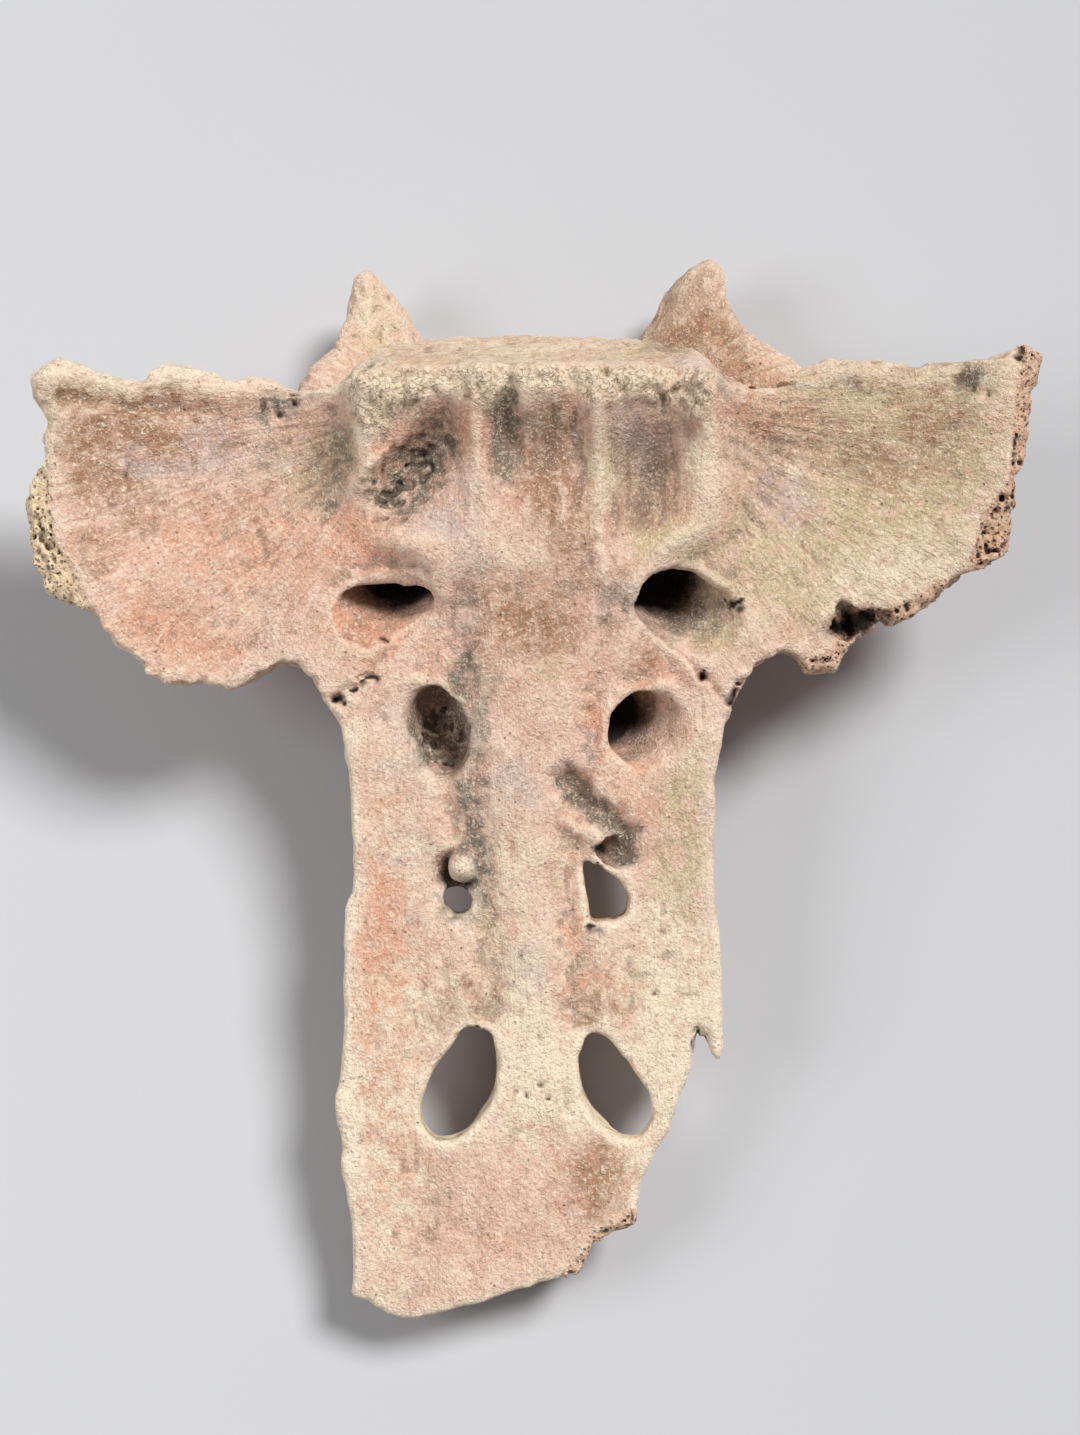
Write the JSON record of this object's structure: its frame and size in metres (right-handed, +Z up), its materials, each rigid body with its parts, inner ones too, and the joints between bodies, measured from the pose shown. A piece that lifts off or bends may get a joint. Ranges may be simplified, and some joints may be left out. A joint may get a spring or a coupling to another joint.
{
  "type": "fossil hippopotamus sacrum",
  "caption": "Fossil hippopotamus sacrum: fused hip vertebrae with broad wings, paired nerve openings and horn-like joining processes, lying on its back with the pelvic face up.",
  "frame": {"origin": "middle of the outline seen from above, on the ground the bone lies on", "axes": "+Z up, out of the pelvic (ventral) face; +Y towards the head end with its oval end face and horn-like processes; +X to the right as seen from above with the head end away"},
  "size_m": [0.2406, 0.2638, 0.0678],
  "materials": {
    "bone": "matte"
  },
  "bodies": {
    "root": {"s1_vertebra": "bone", "wing_left": "bone", "wing_right": "bone", "articular_process_left": "bone", "articular_process_right": "bone", "s2_vertebra": "bone", "s3_vertebra": "bone", "s4_vertebra": "bone", "s5_vertebra": "bone"}
  },
  "joints": []
}
